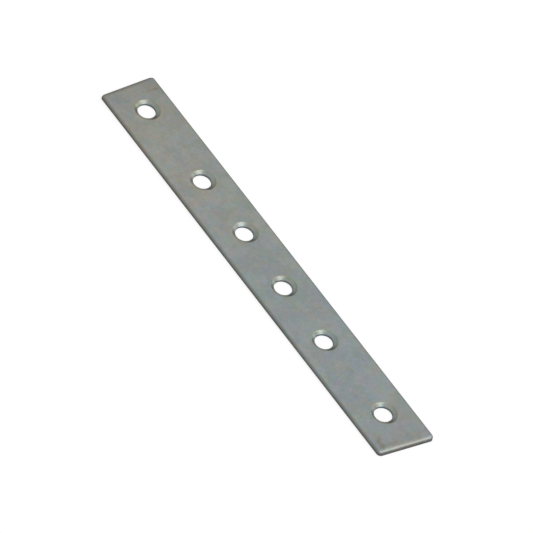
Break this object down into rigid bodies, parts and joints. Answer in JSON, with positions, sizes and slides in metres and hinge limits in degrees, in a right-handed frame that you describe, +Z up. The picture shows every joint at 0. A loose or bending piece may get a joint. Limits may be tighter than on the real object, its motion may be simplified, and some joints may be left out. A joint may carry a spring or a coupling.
{
  "type": "mending plate",
  "caption": "Flat zinc-plated steel bar with rolled upper edges and a row of countersunk screw holes along it, for joining timber end to end.",
  "frame": {"origin": "on the centre line, halfway along, on the underside", "axes": "+X along the bar towards the end with the longer plain stretch, +Y across it, +Z up out of the face the screws enter"},
  "size_m": [0.1508, 0.019, 0.0015],
  "materials": {
    "zinc_plated_steel": "satin bright zinc plate, faintly mottled"
  },
  "bodies": {
    "root": {"mending_plate": "zinc_plated_steel"}
  },
  "joints": []
}
